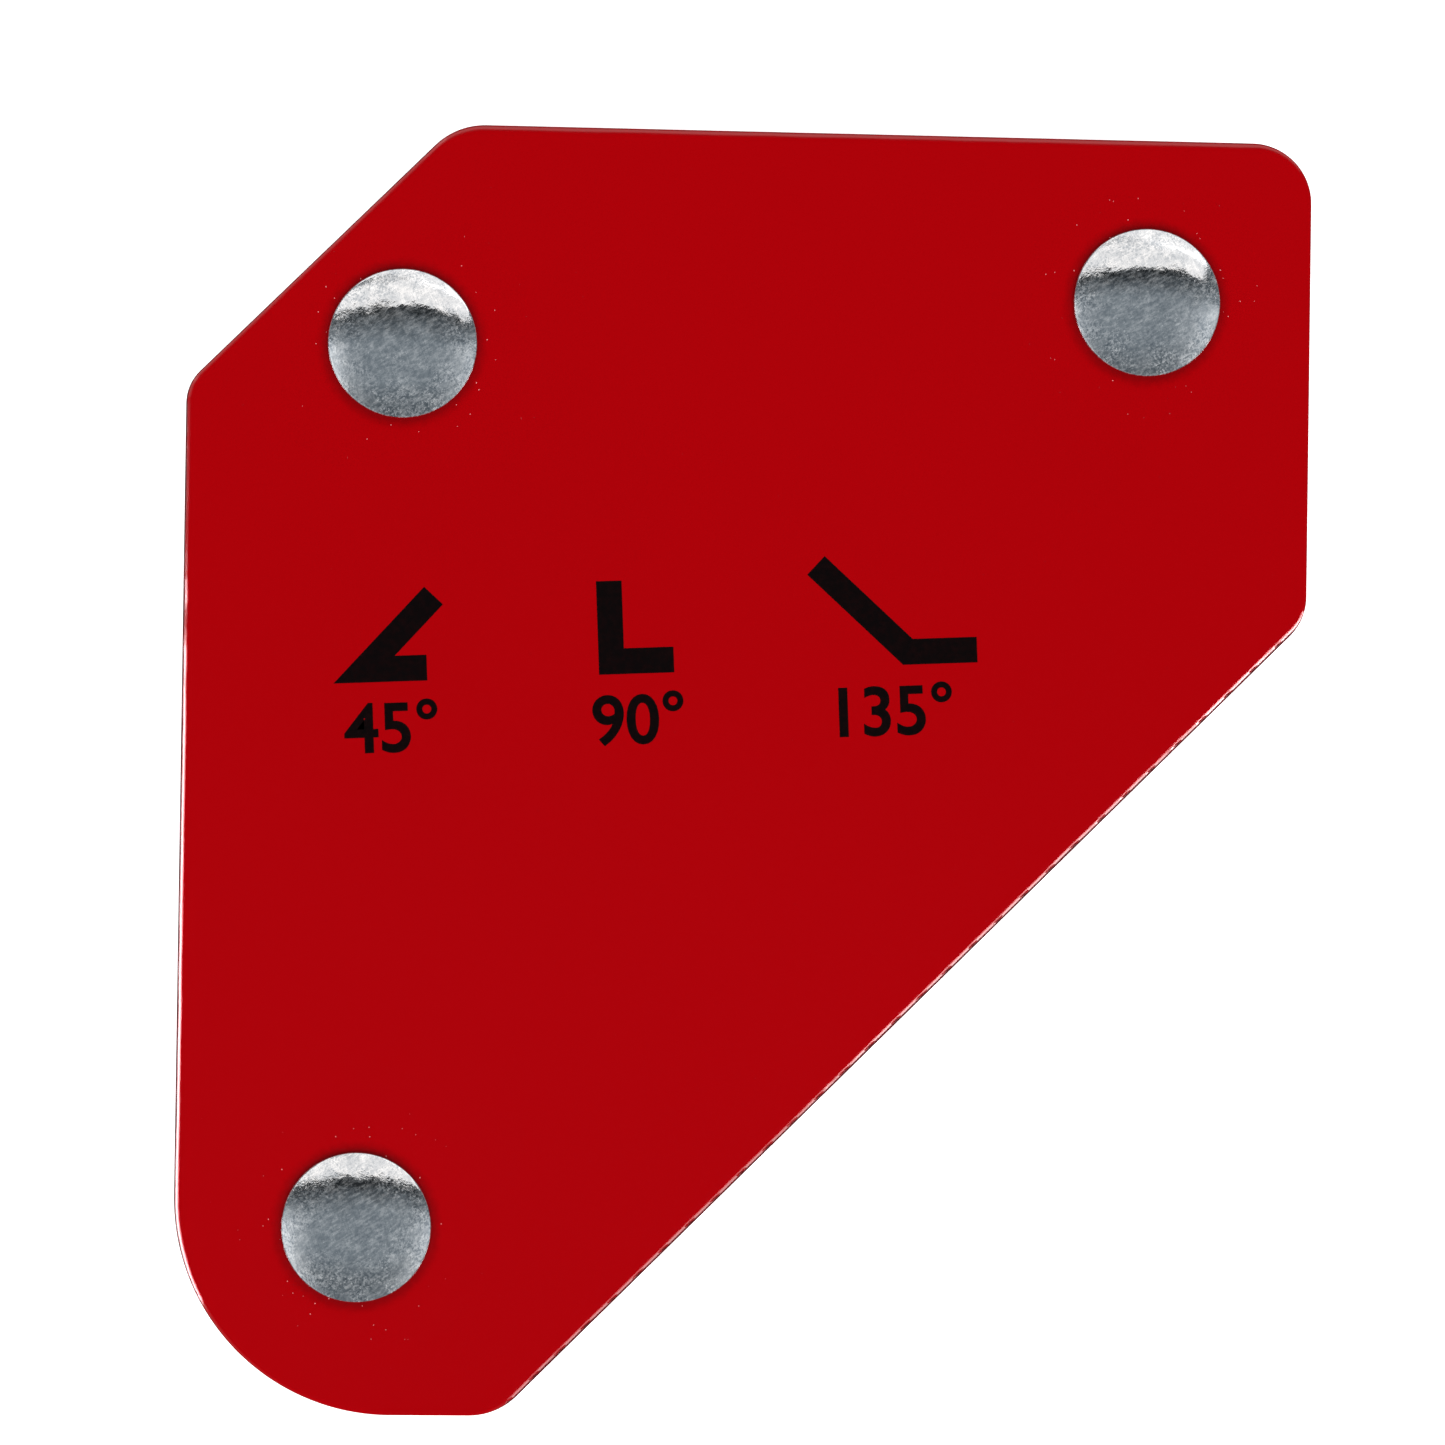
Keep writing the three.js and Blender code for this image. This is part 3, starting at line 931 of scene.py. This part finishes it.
def surroundings():
    """Tent round the table: pale at the horizon, with long soft panels over the object."""
    world = bpy.data.worlds.new("tent")
    world.use_nodes = True
    bpy.context.scene.world = world
    tree = world.node_tree
    split = tree.nodes.new("ShaderNodeSeparateXYZ")
    tree.links.new(tree.nodes.new("ShaderNodeTexCoord").outputs["Generated"], split.inputs["Vector"])

    def lean(axis):
        """Angle of a direction from straight up towards an axis."""
        node = tree.nodes.new("ShaderNodeMath")
        node.operation = "ARCTAN2"
        tree.links.new(split.outputs[axis], node.inputs[0])
        tree.links.new(split.outputs["Z"], node.inputs[1])
        return node.outputs["Value"]

    def combine(operation, first, second):
        """Colour sum or product. second may be a colour's own numbers."""
        node = tree.nodes.new("ShaderNodeVectorMath")
        node.operation = operation
        tree.links.new(first, node.inputs[0])
        if isinstance(second, tuple):
            node.inputs[1].default_value = second
        else:
            tree.links.new(second, node.inputs[1])
        return node.outputs["Vector"]

    def panels(axis, levels):
        """Levels at degrees from straight up, minus towards the front or the left."""
        stops = [(math.radians(place), level) for place, level in levels]
        return ramp_node(tree, lean(axis), -math.pi / 2, math.pi / 2, stops)

    # Panels from front to back, panels at the two sides, and how far back those reach.
    over = panels("Y", [(-90, 0.1), (-58, 0.12), (-40, 0.18), (-22, 0.28), (-5, 0.28),
                        (6, 0.27), (13, 0.2), (20, 0.1), (26, 0.02), (60, 0.02)])
    sides = panels("X", [(-90, 0.8), (-50, 0.8), (-40, 0.22), (-28, 0.0),
                         (24, 0.0), (36, 0.1), (52, 0.4), (90, 0.5)])
    front = panels("Y", [(-90, 1.0), (-2, 1.0), (12, 0.1), (30, 0.0)])
    # Height of a direction (0 horizon, 1 straight up) and the level of the tent's wall there.
    wall = [(-1.0, 0.08), (-0.14, 0.1), (-0.03, 0.26), (0.1, 0.3), (0.25, 0.22), (0.5, 0.1), (0.7, 0.0)]
    around = ramp_node(tree, split.outputs["Z"], -1.0, 1.0, wall)
    reach = ramp_node(tree, split.outputs["Z"], 0.0, 1.0, [(0.25, 0.0), (0.55, 1.0)])
    panelled = combine("ADD", combine("MULTIPLY", over, reach), around)
    cool = combine("MULTIPLY", panelled, (0.86, 1.0, 1.11))
    glow = combine("MULTIPLY", combine("MULTIPLY", sides, front), reach)
    # The view itself shows a plain white backdrop, like the table, in place of the panels.
    backdrop = tree.nodes.new("ShaderNodeMix")
    backdrop.data_type = "RGBA"
    tree.links.new(tree.nodes.new("ShaderNodeLightPath").outputs["Is Camera Ray"], backdrop.inputs[0])
    tree.links.new(combine("ADD", cool, glow), backdrop.inputs[6])
    backdrop.inputs[7].default_value = (1.0, 1.0, 1.0, 1.0)
    tree.links.new(backdrop.outputs[2], tree.nodes["Background"].inputs["Color"])


# --- The whole scene --------------------------------------------------------------------

camera()
table()
surroundings()
bpy.context.scene.view_settings.view_transform = "Standard"

stampings = [
    side_plate("front_plate", PLATE_HIGH.z, 1, red_paint("red_paint_front", PLATE_HIGH.z, 1), seed=1),
    side_plate("rear_plate", REAR_LOW.z, -1, red_paint("red_paint_rear", REAR_LOW.z, -1), seed=2),
]
lights(stampings)

zinc = zinc_plate()
steel = turned_steel()
for index, spot in enumerate(RIVET_PLACES):
    rivet(spot, zinc, seed=11 + 7 * index)
    spacer_sleeve(spot, steel, seed=31 + index)

ferrite = sintered_ferrite()
for row in ("top", "left", "diagonal"):
    for number in (1, 2):
        ferrite_block(f"ferrite_magnet_{row}_{number}", ferrite, seed=51 + 5 * number + len(row))

ink = black_ink()
for mark in MARKS:
    angle_mark(*mark, ink)
